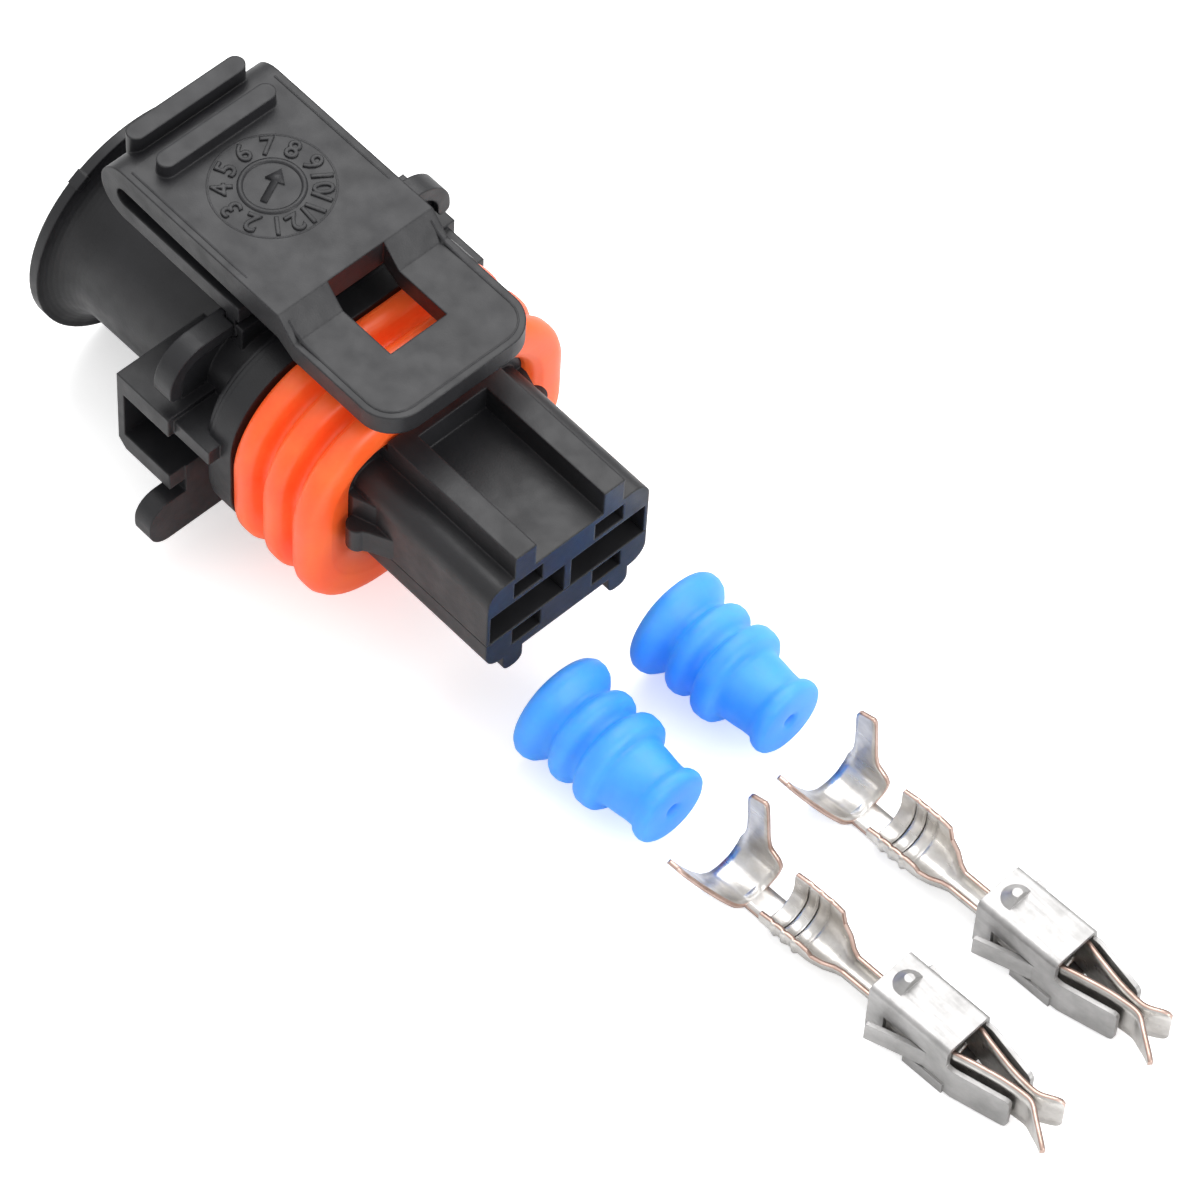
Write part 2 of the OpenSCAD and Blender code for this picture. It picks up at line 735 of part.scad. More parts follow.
// Insulation wing along a path in Y and Z, narrowed to a round tip at height z.
module wing(path, x, w, z) {
  tip = 0.36 * w;
  intersection() {
    along_x(-x - w, -x) strip(path, sheet_t);
    along_y(6 * grip_r) {
      translate([x + w / 2, z - tip]) circle(tip, $fn = 32);
      polygon([[x, -1], [x, 1], [x + w / 2 - tip, 0.55 * z], [x + w / 2 - tip, z - tip],
               [x + w / 2 + tip, z - tip], [x + w / 2 + tip, 0.55 * z], [x + w, 1],
               [x + w, -1]]);
    }
  }
}

// Contact folded from one sheet: barrels, neck, box and two spring arms.
module terminal() {
  inner_w = cage_w - 2 * cage_t - 2 * cage_fit;
  z = cage_t + cage_fit;
  low = (cage_h - arm_w) / 2;
  barrel_x = -6.8;
  grip_x = barrel_x - 3.6;
  grip_m = grip_r - sheet_t / 2;
  color(tin) {
    // floor strip that joins everything, and the folded box in the cage
    translate([-2.4, -inner_w / 2 + 0.35, z]) cube([cage_l + 2, inner_w - 0.7, sheet_t]);
    translate([0.4, -inner_w / 2, z]) cube([cage_l - 1, inner_w, sheet_t]);
    for (s = [-1, 1]) translate([0.4, s * (inner_w - sheet_t) / 2 - sheet_t / 2, z])
      cube([cage_l - 1.4, sheet_t, low - z + eps]);
    for (s = [-1, 1]) contact_arm(s);
    // neck that closes in from the wire barrel to the cage
    neck_m = barrel_r - sheet_t / 2;
    translate([0, 0, z]) linear_extrude(sheet_t) polygon([
      [-4, -0.7], [-2.2, -0.5], [-2.2, 0.5], [-4, 0.7]]);
    for (s = [-1, 1]) intersection() {
      translate([0, 0, z]) linear_extrude(1.6) strip([
        [barrel_x + barrel_l - 0.3, s * neck_m], [barrel_x + barrel_l + 0.3, s * neck_m],
        [-2.5, s * 0.52], [0.6, s * 0.52]], sheet_t);
      along_y(4 * barrel_r) polygon([
        [barrel_x + barrel_l - 1, z], [barrel_x + barrel_l - 1, 1.75],
        [barrel_x + barrel_l + 0.2, 1.7], [-2.4, 1.1], [0.6, 1.1], [0.6, z]]);
    }
    // wire barrel with its serrations
    difference() {
      along_x(-barrel_x - barrel_l, -barrel_x) barrel(barrel_r, 1.75, 2.35);
      for (i = [0:2]) along_x(-barrel_x - 0.85 - i * 0.7, -barrel_x - 0.7 - i * 0.7)
        translate([0, barrel_r]) circle(barrel_r - sheet_t + 0.08);
    }
    translate([-4.2, -0.7, 0]) cube([0.8, 1.4, sheet_t + z]);
    // bridge and insulation barrel with its open wings
    translate([grip_x + 1, -0.7, 0]) cube([barrel_x - grip_x, 1.4, sheet_t]);
    along_x(-grip_x - 2.2, -grip_x + 0.1) translate([0, grip_r]) strip(
      [for (a = [200:10:350]) grip_m * [cos(a), sin(a)]], sheet_t);
    wing([grip_m * [cos(320), sin(320)] + [0, grip_r],
          grip_m * [cos(350), sin(350)] + [0, grip_r],
          [grip_r, wing_l * 0.4], [grip_r - 0.3, wing_l * 0.7], [grip_r - 0.6, wing_l + 0.1]],
         grip_x - 0.1, 1.9, wing_l);
    wing([grip_m * [cos(230), sin(230)] + [0, grip_r],
          grip_m * [cos(200), sin(200)] + [0, grip_r],
          [-grip_r - 0.5, wing_l * 0.4],
          [-grip_r - 0.3 - wing_l * 0.5, wing_l * 0.86]],
         grip_x - 0.1, 1.8, wing_l * 0.84);
  }
}

// Steel cage round the contact, with side lances and front guards.
module spring_cage() {
  wall_y = (cage_w - cage_t) / 2;
  lance_x = cage_l - 1.2 - lance_l;
  lance_z = 0.75;
  color(steel) {
    difference() {
      along_x(-cage_l, 0) difference() {
        rounded(-cage_w / 2, 0, cage_w / 2, cage_h, 0.3);
        translate([-cage_w / 2 + cage_t, cage_t])
          square([cage_w - 2 * cage_t, cage_h - 2 * cage_t]);
      }
      for (s = [-1, 1]) translate([lance_x + 0.4, s * wall_y - 1, lance_z - 0.05])
        cube([lance_l - 0.4, 2, lance_w + 0.1]);
    }
    for (s = [-1, 1]) {
      intersection() {
        translate([0, 0, lance_z]) linear_extrude(lance_w) strip([
          [cage_l - 0.8, s * wall_y], [cage_l - 1.3, s * wall_y],
          [cage_l - 2.4, s * (wall_y + 0.3)], [lance_x, s * (wall_y + 0.85)]], cage_t);
        along_y(4 * cage_w) rounded(lance_x - 0.2, lance_z, cage_l, lance_z + lance_w, 0.35);
      }
      h = s < 0 ? guard_near : guard_far;
      intersection() {
        translate([0, 0, 0.1]) linear_extrude(h) strip([
          [cage_l - 0.5, s * wall_y], [cage_l + 0.4, s * wall_y],
          [cage_l + guard_l, s * (wall_y - 0.62)]], cage_t);
        along_y(4 * cage_w) rounded(0, 0.1, cage_l + guard_l, 0.1 + h, 0.3);
      }
      translate([cage_l - 2.4, s * wall_y + (s < 0 ? -cage_t * 0.9 : -cage_t * 0.1), -0.0])
        cube([2.4, cage_t, 0.7]);
    }
    difference() {
      translate([1.1, 0, cage_h - 0.1]) cylinder(r1 = 0.85, r2 = 0.25, h = 0.6, $fn = 48);
      translate([1.3, -1, cage_h]) cube([2, 2, 1]);
    }
  }
}

terminal_y = -1;

module terminal_left() { terminal_place(terminal_y) terminal(); }
module terminal_right() { terminal_place(terminal_y + terminal_row_pitch) terminal(); }
module spring_cage_left() { terminal_place(terminal_y) spring_cage(); }
module spring_cage_right() { terminal_place(terminal_y + terminal_row_pitch) spring_cage(); }

housing();
latch_lever();
secondary_lock();
perimeter_seal();
wire_seal_left();
wire_seal_right();
terminal_left();
terminal_right();
spring_cage_left();
spring_cage_right();
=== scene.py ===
"""Sealed two-way connector: looks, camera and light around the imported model."""
import math

import bpy
import bmesh
from mathutils import Matrix, Vector


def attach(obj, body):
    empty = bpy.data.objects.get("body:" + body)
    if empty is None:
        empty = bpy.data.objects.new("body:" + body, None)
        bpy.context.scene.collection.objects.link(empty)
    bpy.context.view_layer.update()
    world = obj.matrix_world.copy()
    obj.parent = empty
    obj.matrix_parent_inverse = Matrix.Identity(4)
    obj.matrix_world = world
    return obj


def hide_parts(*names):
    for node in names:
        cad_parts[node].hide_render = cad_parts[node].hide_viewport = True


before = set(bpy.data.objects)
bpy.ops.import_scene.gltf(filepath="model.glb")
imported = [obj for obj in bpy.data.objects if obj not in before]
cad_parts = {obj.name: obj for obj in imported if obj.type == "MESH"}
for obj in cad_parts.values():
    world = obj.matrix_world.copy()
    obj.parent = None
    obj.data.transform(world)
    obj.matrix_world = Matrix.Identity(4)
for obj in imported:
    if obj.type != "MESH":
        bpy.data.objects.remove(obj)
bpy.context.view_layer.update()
MM = 0.001
FLOOR_Z = -8.76
WHITE = (1, 1, 1, 1)


def add_object(name, data):
    obj = bpy.data.objects.new(name, data)
    bpy.context.collection.objects.link(obj)
    return obj


# ---------------------------------------------------------------- camera
AZIMUTH, ELEVATION, ROLL = (math.radians(a) for a in (45.9, 55.5, -3.811))
SHIFT_X, SHIFT_Y, DISTANCE = 1.481 * MM, -1.152 * MM, 306.78 * MM
SENSOR, LENS = 36, 200.86
CLIP = (0.01, 5)


def add_camera():
    """A long lens on the origin, rolled and shifted in its own plane."""
    right = Vector((math.sin(AZIMUTH), math.cos(AZIMUTH), 0))
    back = Vector((math.cos(AZIMUTH) * math.cos(ELEVATION),
                   -math.sin(AZIMUTH) * math.cos(ELEVATION), math.sin(ELEVATION)))
    up = back.cross(right)
    rolled_right = math.cos(ROLL) * right - math.sin(ROLL) * up
    rolled_up = math.sin(ROLL) * right + math.cos(ROLL) * up
    camera = bpy.data.cameras.new("camera")
    camera.sensor_width = SENSOR
    camera.lens = LENS
    camera.clip_start, camera.clip_end = CLIP
    obj = add_object("camera", camera)
    place = Matrix((rolled_right, rolled_up, back)).transposed().to_4x4()
    place.translation = SHIFT_X * rolled_right + SHIFT_Y * rolled_up + DISTANCE * back
    obj.matrix_world = place
    bpy.context.scene.camera = obj


add_camera()


# ---------------------------------------------------------------- node helpers
class Graph:
    """Short calls for building a material's nodes."""

    def __init__(self, name):
        self.mat = bpy.data.materials.new(name)
        self.mat.use_nodes = True
        self.tree = self.mat.node_tree
        self.bsdf = self.tree.nodes["Principled BSDF"]
        self.coord = self.node("ShaderNodeTexCoord").outputs["Object"]

    def node(self, kind, **values):
        """A new node. Values whose name starts with in_ go to its inputs."""
        n = self.tree.nodes.new(kind)
        for key, value in values.items():
            if key.startswith("in_"):
                n.inputs[key[3:].replace("_", " ")].default_value = value
            else:
                setattr(n, key, value)
        return n

    def link(self, a, b):
        self.tree.links.new(a, b)

    def noise(self, scale, detail, rough=0.5, vector=None):
        n = self.node("ShaderNodeTexNoise", in_Scale=scale, in_Detail=detail, in_Roughness=rough)
        self.link(vector or self.coord, n.inputs["Vector"])
        return n.outputs["Fac"]

    def blend(self, fac, low, dark, high, light):
        """Dark up to the low factor, light from the high one, and a blend between."""
        n = self.node("ShaderNodeValToRGB")
        for stop, place, colour in zip(n.color_ramp.elements, (low, high), (dark, light)):
            stop.position = place
            stop.color = (*colour, 1)
        self.link(fac, n.inputs["Fac"])
        return n.outputs["Color"]

    def remap(self, fac, to, start=(0.0, 1.0)):
        """A factor from the start range moved to another range."""
        n = self.node("ShaderNodeMapRange", in_From_Min=start[0], in_From_Max=start[1],
                      in_To_Min=to[0], in_To_Max=to[1])
        self.link(fac, n.inputs["Value"])
        return n.outputs["Result"]

    def bevel(self, radius):
        return self.node("ShaderNodeBevel", samples=6, in_Radius=radius).outputs["Normal"]

    def bump(self, height, strength, distance, normal=None):
        n = self.node("ShaderNodeBump", in_Strength=strength, in_Distance=distance)
        self.link(height, n.inputs["Height"])
        if normal is not None:
            self.link(normal, n.inputs["Normal"])
        return n.outputs["Normal"]

    def set(self, **values):
        for key, value in values.items():
            self.bsdf.inputs[key.replace("_", " ")].default_value = value

    def to(self, name, socket):
        self.link(socket, self.bsdf.inputs[name])


# ---------------------------------------------------------------- materials
MIDDLE = (0.3, 0.7)        # the range that a noise mostly keeps to


def plastic(name, dark, light, rough):
    """Satin moulded plastic: a faint cloud, a fine grain and slightly worn edges."""
    g = Graph(name)
    cloud = g.noise(scale=260, detail=4, rough=0.6)
    g.to("Base Color", g.blend(cloud, 0.3, dark, 0.75, light))
    g.to("Roughness", g.remap(g.noise(scale=900, detail=2), rough, MIDDLE))
    grain = g.bump(g.noise(scale=9000, detail=2, rough=0.6), 0.3, 0.02 * MM, g.bevel(0.14 * MM))
    g.to("Normal", g.bump(g.noise(scale=1100, detail=2), 0.05, 0.09 * MM, grain))
    g.set(Specular_IOR_Level=0.42)
    return g.mat


def silicone(name, dark, light, rough, scatter, depth, glow):
    """Oily silicone. The weak glow stands in for light that passes through it."""
    g = Graph(name)
    cloud = g.noise(scale=350, detail=4, rough=0.55)
    g.to("Base Color", g.blend(cloud, 0.3, dark, 0.7, light))
    g.to("Roughness", g.remap(g.noise(scale=700, detail=3), rough, MIDDLE))
    g.to("Normal", g.bump(g.noise(scale=1700, detail=3, rough=0.6), 0.16, 0.06 * MM))
    g.set(Subsurface_Weight=scatter, Subsurface_Scale=depth)
    g.set(Emission_Color=(*glow, 1), Emission_Strength=0.12)
    return g.mat


def metal(name, dark, light, rough):
    """Rolled sheet metal, brushed along X."""
    g = Graph(name)
    along = g.node("ShaderNodeMapping", in_Scale=(400, 5200, 5200))
    g.link(g.coord, along.inputs["Vector"])
    streak = g.noise(scale=1, detail=3, rough=0.6, vector=along.outputs["Vector"])
    cloud = g.noise(scale=700, detail=4, rough=0.6)
    g.to("Base Color", g.blend(cloud, 0.3, dark, 0.72, light))
    g.to("Roughness", g.remap(streak, rough, MIDDLE))
    dents = g.bump(g.noise(scale=1500, detail=2), 0.22, 0.06 * MM, g.bevel(0.05 * MM))
    g.to("Normal", g.bump(streak, 0.16, 0.02 * MM, dents))
    g.set(Metallic=1.0)
    return g.mat


BLACK = plastic("black_plastic", dark=(0.011, 0.011, 0.0125), light=(0.018, 0.018, 0.0205),
                rough=(0.36, 0.5))
LOCK = plastic("lock_plastic", dark=(0.012, 0.012, 0.0135), light=(0.019, 0.019, 0.0215),
               rough=(0.4, 0.5))
ORANGE = silicone("orange_silicone", dark=(0.95, 0.095, 0.016), light=(1.0, 0.15, 0.03),
                  rough=(0.3, 0.45), scatter=0.25, depth=1.2 * MM, glow=(1.0, 0.12, 0.02))
BLUE = silicone("blue_silicone", dark=(0.04, 0.3, 0.9), light=(0.075, 0.39, 0.98),
                rough=(0.42, 0.52), scatter=0.6, depth=2.5 * MM, glow=(0.02, 0.22, 0.8))
TIN = metal("tinned_copper", dark=(0.5, 0.48, 0.455), light=(0.8, 0.78, 0.755),
            rough=(0.26, 0.42))
COPPER = metal("cut_copper", dark=(0.5, 0.34, 0.28), light=(0.74, 0.56, 0.49),
               rough=(0.3, 0.45))
STEEL = metal("cage_steel", dark=(0.38, 0.375, 0.37), light=(0.56, 0.55, 0.545),
              rough=(0.44, 0.58))

# The nodes that a piece below replaces keep their material too.
NODE_MATERIAL = {
    "housing": BLACK, "latch_lever": BLACK, "secondary_lock": LOCK, "perimeter_seal": ORANGE,
    "wire_seal_left": BLUE, "wire_seal_right": BLUE,
    "terminal_left": TIN, "terminal_right": TIN,
    "spring_cage_left": STEEL, "spring_cage_right": STEEL}
for node_name, material in NODE_MATERIAL.items():
    for material_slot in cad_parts[node_name].material_slots:
        material_slot.material = material


# ---------------------------------------------------------------- mesh helpers
def add_piece(name, verts, faces, mats, body, slot, replaced=None):
    """One smooth mesh piece from points in millimetres, riding on a body."""
    mesh = bpy.data.meshes.new(name)
    mesh.from_pydata([Vector(v) * MM for v in verts], [], faces)
    bm = bmesh.new()
    bm.from_mesh(mesh)
    bmesh.ops.recalc_face_normals(bm, faces=bm.faces)
    bm.to_mesh(mesh)
    bm.free()
    mesh.polygons.foreach_set("use_smooth", [True] * len(mesh.polygons))
    for mat in mats:
        mesh.materials.append(mat)
    obj = add_object(name, mesh)
    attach(obj, body)
    if replaced:
        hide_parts(replaced)
    return obj


def quads(rows, cols, close_rows=False, close_cols=False, start=0):
    """Faces of a grid of points, kept row by row."""
    faces = []
    for r in range(rows if close_rows else rows - 1):
        for c in range(cols if close_cols else cols - 1):
            r2, c2 = (r + 1) % rows, (c + 1) % cols
            faces.append([start + r * cols + c, start + r2 * cols + c,
                          start + r2 * cols + c2, start + r * cols + c2])
    return faces


def join(parts):
    """The points and faces of several meshes as one."""
    verts, faces = [], []
    for more_verts, more_faces in parts:
        faces += [[i + len(verts) for i in face] for face in more_faces]
        verts += more_verts
    return verts, faces


def steps(a, b, count):
    """Points on the way from a to b, with a and without b."""
    return [[u + (v - u) * k / count for u, v in zip(a, b)] for k in range(count)]


def soften(points, rounds=2, cuts=4):
    """Points of a path cut finer and relaxed, so its bends come out round."""
    fine = []
    for a, b in zip(points, points[1:]):
        fine += steps(a, b, cuts)
    fine.append(list(points[-1]))
    for _ in range(rounds):
        fine = [fine[0]] + [[(x + 2 * y + z) / 4 for x, y, z in zip(p, q, r)]
                            for p, q, r in zip(fine, fine[1:], fine[2:])] + [fine[-1]]
    return fine


# ---------------------------------------------------------------- perimeter seal
SEAL_W, SEAL_H, SEAL_R, SEAL_DROP, SEAL_FRONT = 16.1, 12.5, 5.0, 0.65, -8.85
LIP_R, LIP_PITCH, LIPS = 0.75, 2.05, 3
SEAT_W, SEAT_TOP, SEAT_R, SEAT_START = 10.96, 3.73, 1.83, 0.14
CORNERS = ((1, 1), (-1, 1), (-1, -1), (1, -1))
# The ring's section, as x back from its front and inset from its outside: the front
# face, the groove about the middle between two lips, and the back face.
FRONT_FACE = [(SEAT_START, 1.75), (0.02, 1.55), (0.0, 1.4), (0.0, 0.75), (0.06, 0.42),
              (0.2, 0.16)]
GROOVE = [(-0.16, 0.92), (0, 1.0), (0.16, 0.92)]
BACK_FACE_INSETS = (0.8, 1.4)
# Stations over a lip and on the rise to the next one, in lip radii from its middle. The
# inset grows with the fourth power of the distance, and the rise has insets of its own.
LIP_STATIONS = (-0.62, -0.35, 0, 0.35, 0.62, 0.82, 0.95)
FIRST_LIP_FROM = -0.5
LIP_FALL = 0.85
RISE = [(-0.95, 0.7), (-0.82, 0.38)]


def rounded_loop(w, h, r, drop, corner=20, side=10):
    """Y and Z of a rounded rectangle, with the same count of points at any size."""
    def corner_point(k, degrees):
        sy, sz = CORNERS[k % 4]
        t = math.radians(degrees)
        return (sy * (w / 2 - r) + r * math.cos(t), sz * (h / 2 - r) - drop + r * math.sin(t))

    loop = []
    for k in range(4):
        end = 90 * (k + 1)
        loop += [corner_point(k, 90 * k + 90 * a / corner) for a in range(corner)]
        loop += steps(corner_point(k, end), corner_point(k + 1, end), side)
    return loop


def seal_rings():
    """Stations of the ring's section, from its bore over the front face to the back."""
    rings = list(FRONT_FACE)
    for lip in range(LIPS):
        middle = LIP_R + lip * LIP_PITCH
        rings += [(middle + u * LIP_R, LIP_FALL * abs(u) ** 4)
                  for u in LIP_STATIONS if lip or u > FIRST_LIP_FROM]
        if lip < LIPS - 1:
            rings += [(middle + LIP_PITCH / 2 + x, inset) for x, inset in GROOVE]
            rings += [(middle + LIP_PITCH + u * LIP_R, inset) for u, inset in RISE]
    length = (LIPS - 1) * LIP_PITCH + 2 * LIP_R
    return rings + [(length, inset) for inset in BACK_FACE_INSETS]


def add_perimeter_seal():
    rings = seal_rings()
    length = rings[-1][0]
    loops = [(x, rounded_loop(SEAL_W - 2 * inset, SEAL_H - 2 * inset, SEAL_R - inset, SEAL_DROP))
             for x, inset in rings]
    seat = rounded_loop(SEAT_W, 2 * SEAT_TOP, SEAT_R, 0)
    loops += [(x, seat) for x in (length, length * 2 / 3, length / 3, SEAT_START)]
    verts = [(SEAL_FRONT - x, y, z) for x, loop in loops for y, z in loop]
    add_piece("perimeter_ring", verts, quads(len(loops), len(seat), True, True), [ORANGE],
              "connector", "seal_orange", "perimeter_seal")


add_perimeter_seal()

# ---------------------------------------------------------------- wire seals
PLUG_R, PLUG_X, PLUG_Y, PLUG_PITCH = 2.85, 2.0, -2.4, 7.3
PLUG_SIDES = 96
PLUG_TURNS = {"left": 0.5, "right": 1.4}
# Section of a wire seal: x forward from its flange, and radius.
PLUG_PROFILE = [
    (0.3, 0.26), (0.0, 0.5), (0.0, 2.2), (0.02, 2.5), (0.12, 2.72), (0.32, 2.84), (0.62, 2.85),
    (0.88, 2.76), (1.1, 2.55), (1.35, 2.26), (1.55, 2.08), (1.75, 2.03), (1.92, 2.1),
    (2.05, 2.28), (2.18, 2.46), (2.38, 2.56), (2.66, 2.57), (2.9, 2.48), (3.06, 2.3),
    (3.2, 2.1), (3.36, 2.03), (3.56, 2.03), (3.7, 2.14), (3.8, 2.36), (3.92, 2.54),
    (4.12, 2.63), (4.5, 2.63), (4.78, 2.56), (4.94, 2.38), (5.02, 2.12), (5.12, 1.98),
    (5.35, 1.93), (5.9, 1.88), (6.5, 1.8), (6.95, 1.78), (7.15, 1.84), (7.3, 1.98),
    (7.46, 2.04), (7.66, 2.06), (7.84, 2.0), (7.95, 1.86), (8.0, 1.68), (7.99, 0.6),
    (7.94, 0.4), (7.75, 0.26)]


def add_wire_seal(side, y):
    """A wire seal lying on its flange, turned a little as it was laid down."""
    turn = Matrix.Rotation(math.radians(PLUG_TURNS[side]), 4, "Z")
    verts = []
    for x, r in PLUG_PROFILE:
        for k in range(PLUG_SIDES):
            a = 2 * math.pi * k / PLUG_SIDES
            v = turn @ Vector((x, r * math.cos(a), r * math.sin(a)))
            verts.append((v.x + PLUG_X, v.y + y, v.z + FLOOR_Z + PLUG_R))
    add_piece("plug_" + side, verts, quads(len(PLUG_PROFILE), PLUG_SIDES, True, True), [BLUE],
              "connector", "seal_blue", "wire_seal_" + side)


add_wire_seal("left", PLUG_Y)
add_wire_seal("right", PLUG_Y + PLUG_PITCH)

# ---------------------------------------------------------------- contacts
CONTACT_X, CONTACT_Y, CONTACT_PITCH, CONTACT_TURN = 22.9, -1.0, 6.85, 3.0
SHEET = 0.24
# Insulation grip: y and z along the folded section, the sheet's rear and front there,
# and how much higher its front lies.
GRIP = [(-4.02, 5.42, -10.15, -9.6, 0), (-3.93, 5.2, -10.3, -9.4, 0),
        (-3.3, 4.0, -10.4, -9.2, 0), (-2.62, 2.75, -10.45, -9.0, 0),
        (-1.98, 1.7, -10.5, -8.6, 0), (-1.35, 0.8, -10.5, -8.2, 0),
        (-0.7, 0.27, -10.5, -8.1, 0), (0, 0.16, -10.5, -8.1, 0), (0.72, 0.3, -10.5, -8.1, 0),
        (1.26, 0.8, -10.5, -8.0, 0), (1.42, 1.35, -10.45, -7.95, 0),
        (1.42, 1.75, -10.3, -8.15, 0), (1.38, 2.2, -10.15, -8.7, 0),
        (1.32, 3.0, -10.06, -8.8, 0), (1.22, 4.2, -10.03, -8.82, 0.1),
        (1.12, 5.2, -10.0, -8.84, 0.25), (1.08, 5.6, -9.96, -8.88, 0.3),
        (1.07, 5.78, -9.8, -9.0, 0.25)]
GRIP_CUTS = 6
# Trough from the wire barrel through the neck into the cage: x, half width, height of
# its floor, and the tops of its near and far wall.
TROUGH = [(-6.85, 1.2, 0.23, 1.7, 2.3), (-6.2, 1.2, 0.23, 1.78, 2.4),
          (-4.4, 1.2, 0.23, 1.78, 2.4), (-3.95, 1.19, 0.23, 1.72, 2.32),
          (-3.72, 1.15, 0.24, 1.45, 1.6), (-3.2, 0.98, 0.29, 1.32, 1.42),
          (-2.7, 0.68, 0.38, 1.2, 1.2), (-2.3, 0.54, 0.45, 1.1, 1.1),
          (0.3, 0.52, 0.45, 1.1, 1.1), (0.75, 0.7, 0.45, 1.0, 1.0),
          (1.2, 0.96, 0.45, 0.95, 0.95), (4.2, 0.96, 0.45, 0.95, 0.95)]
NEAR_CUTS, FAR_CUTS, BEND_STEP = 3, 4, 12
SERRATIONS, SERRATION_DEPTH, SERRATION_WIDTH = (-6.0, -5.35, -4.7), 0.1, 0.08
# Bridge from the grip to the barrel: its stations, half width, floor, and rise at its edges.
BRIDGE_STATIONS = (-8.5, -8.0, -7.4, -6.9, -6.5)
BRIDGE_W, BRIDGE_FLOOR, BRIDGE_RISE = 0.75, 0.19, 0.05
# Spring arms: x, y off the middle, lower and upper edge.
ARM_NEAR = [(0.6, 0.97, 0.6, 2.8), (4.5, 0.97, 0.6, 2.8), (5.3, 0.75, 0.6, 2.8),
            (7.2, 0.32, 0.6, 2.8), (8.6, 0.2, 0.6, 2.8), (9.0, 0.3, 0.7, 2.8),
            (9.6, 0.78, 1.3, 2.8), (10.3, 1.3, 2.0, 2.8), (10.7, 1.6, 2.28, 2.78),
            (10.88, 1.74, 2.42, 2.7)]
ARM_FAR = [(0.6, 0.97, 0.6, 2.8), (4.5, 0.97, 0.6, 2.8), (5.3, 0.75, 0.6, 2.8),
           (7.2, 0.32, 0.6, 2.8), (8.6, 0.2, 0.6, 2.8), (9.0, 0.3, 0.6, 2.8),
           (9.6, 0.62, 0.6, 2.8), (9.85, 0.76, 0.7, 2.7), (9.97, 0.83, 0.95, 2.45)]
ARM_CUTS = 4


def grip_rows():
    return [[(x0 + (x1 - x0) * k / GRIP_CUTS, y, z + lift * k / GRIP_CUTS)
             for k in range(GRIP_CUTS + 1)]
            for y, z, x0, x1, lift in soften(GRIP, 2, 5)]


def trough_rows():
    """Sections of the trough: near wall from its top down, round floor, far wall."""
    rows = []
    for x, w, floor, near, far in soften(TROUGH, 1, 24):
        dip = SERRATION_DEPTH * sum(math.exp(-((x - c) / SERRATION_WIDTH) ** 2)
                                    for c in SERRATIONS)
        r = min(w, near - floor)
        bend = floor + r
        # The walls' top edges stay straight past the serrations.
        row = [(x, -w - dip * (k > 0), near + (bend - near) * k / NEAR_CUTS)
               for k in range(NEAR_CUTS)]
        for a in range(180, 361, BEND_STEP):
            t = math.radians(a)
            row.append((x, (w + dip) * math.cos(t), bend + (r + dip) * math.sin(t)))
        row += [(x, w + dip * (k < FAR_CUTS), bend + (far - bend) * k / FAR_CUTS)
                for k in range(1, FAR_CUTS + 1)]
        rows.append(row)
    return rows


def bridge_rows():
    return [[(x, BRIDGE_W * k, BRIDGE_FLOOR + BRIDGE_RISE * abs(k)) for k in (-1, -0.5, 0, 0.5, 1)]
            for x in BRIDGE_STATIONS]


def arm_rows(path, side):
    return [[(x, side * y, z0 + (z1 - z0) * k / ARM_CUTS) for k in range(ARM_CUTS + 1)]
            for x, y, z0, z1 in soften(path)]


def add_contact(side, y0):
    """One contact as open sheets, thickened to both sides, with copper on the cut edges."""
    turn = Matrix.Rotation(math.radians(CONTACT_TURN), 4, "Z")
    verts, faces = [], []
    for rows in (grip_rows(), trough_rows(), bridge_rows(), arm_rows(ARM_NEAR, -1),
                 arm_rows(ARM_FAR, 1)):
        faces += quads(len(rows), len(rows[0]), start=len(verts))
        for point in (q for row in rows for q in row):
            v = turn @ Vector(point)
            verts.append((v.x + CONTACT_X, v.y + y0, v.z + FLOOR_Z))
    obj = add_piece("contact_" + side, verts, faces, [TIN, COPPER], "connector",
                    "tinned_contact", "terminal_" + side)
    wall = obj.modifiers.new("sheet", "SOLIDIFY")
    wall.thickness = SHEET * MM
    wall.offset = 0
    wall.use_even_offset = True
    wall.material_offset_rim = 1


add_contact("left", CONTACT_Y)
add_contact("right", CONTACT_Y + CONTACT_PITCH)

# ---------------------------------------------------------------- lever dial
LEVER_TOP = 9.1
DIAL_X = -20.5
# Rings: radius, width and height.
DIAL_RINGS = [(1.5, 0.3, 0.09), (3.0, 0.12, 0.025)]
RING_SIDES = 120
RING_SECTION = [(-0.5, -0.05), (-0.42, 0.6), (0, 1), (0.42, 0.6), (0.5, -0.05)]
# Pointer: its outline, height, how deep it starts below the lever's top, and its turn.
ARROW = [(-0.16, -1.0), (0.16, -1.0), (0.16, 0.3), (0.5, 0.3), (0, 1.05), (-0.5, 0.3),
         (-0.16, 0.3)]
ARROW_HEIGHT, ARROW_SINK, ARROW_TURN = 0.09, 0.05, 25
# Numbers: the angle of the 7, the circle they stand on, and the relief of a glyph.
SEVEN_AT, NUMBER_R, NUMBER_SIZE, NUMBER_HEIGHT, NUMBER_BEVEL = 144.6, 2.28, 1.45, 0.06, 0.035


def ring_mesh(radius, width, height):
    """A low ring with a rounded top, standing on the lever."""
    verts = []
    for k in range(RING_SIDES):
        a = 2 * math.pi * k / RING_SIDES
        for u, v in RING_SECTION:
            r = radius + u * width
            verts.append((DIAL_X + r * math.cos(a), r * math.sin(a), LEVER_TOP + v * height))
    return verts, quads(RING_SIDES, len(RING_SECTION), True, False)


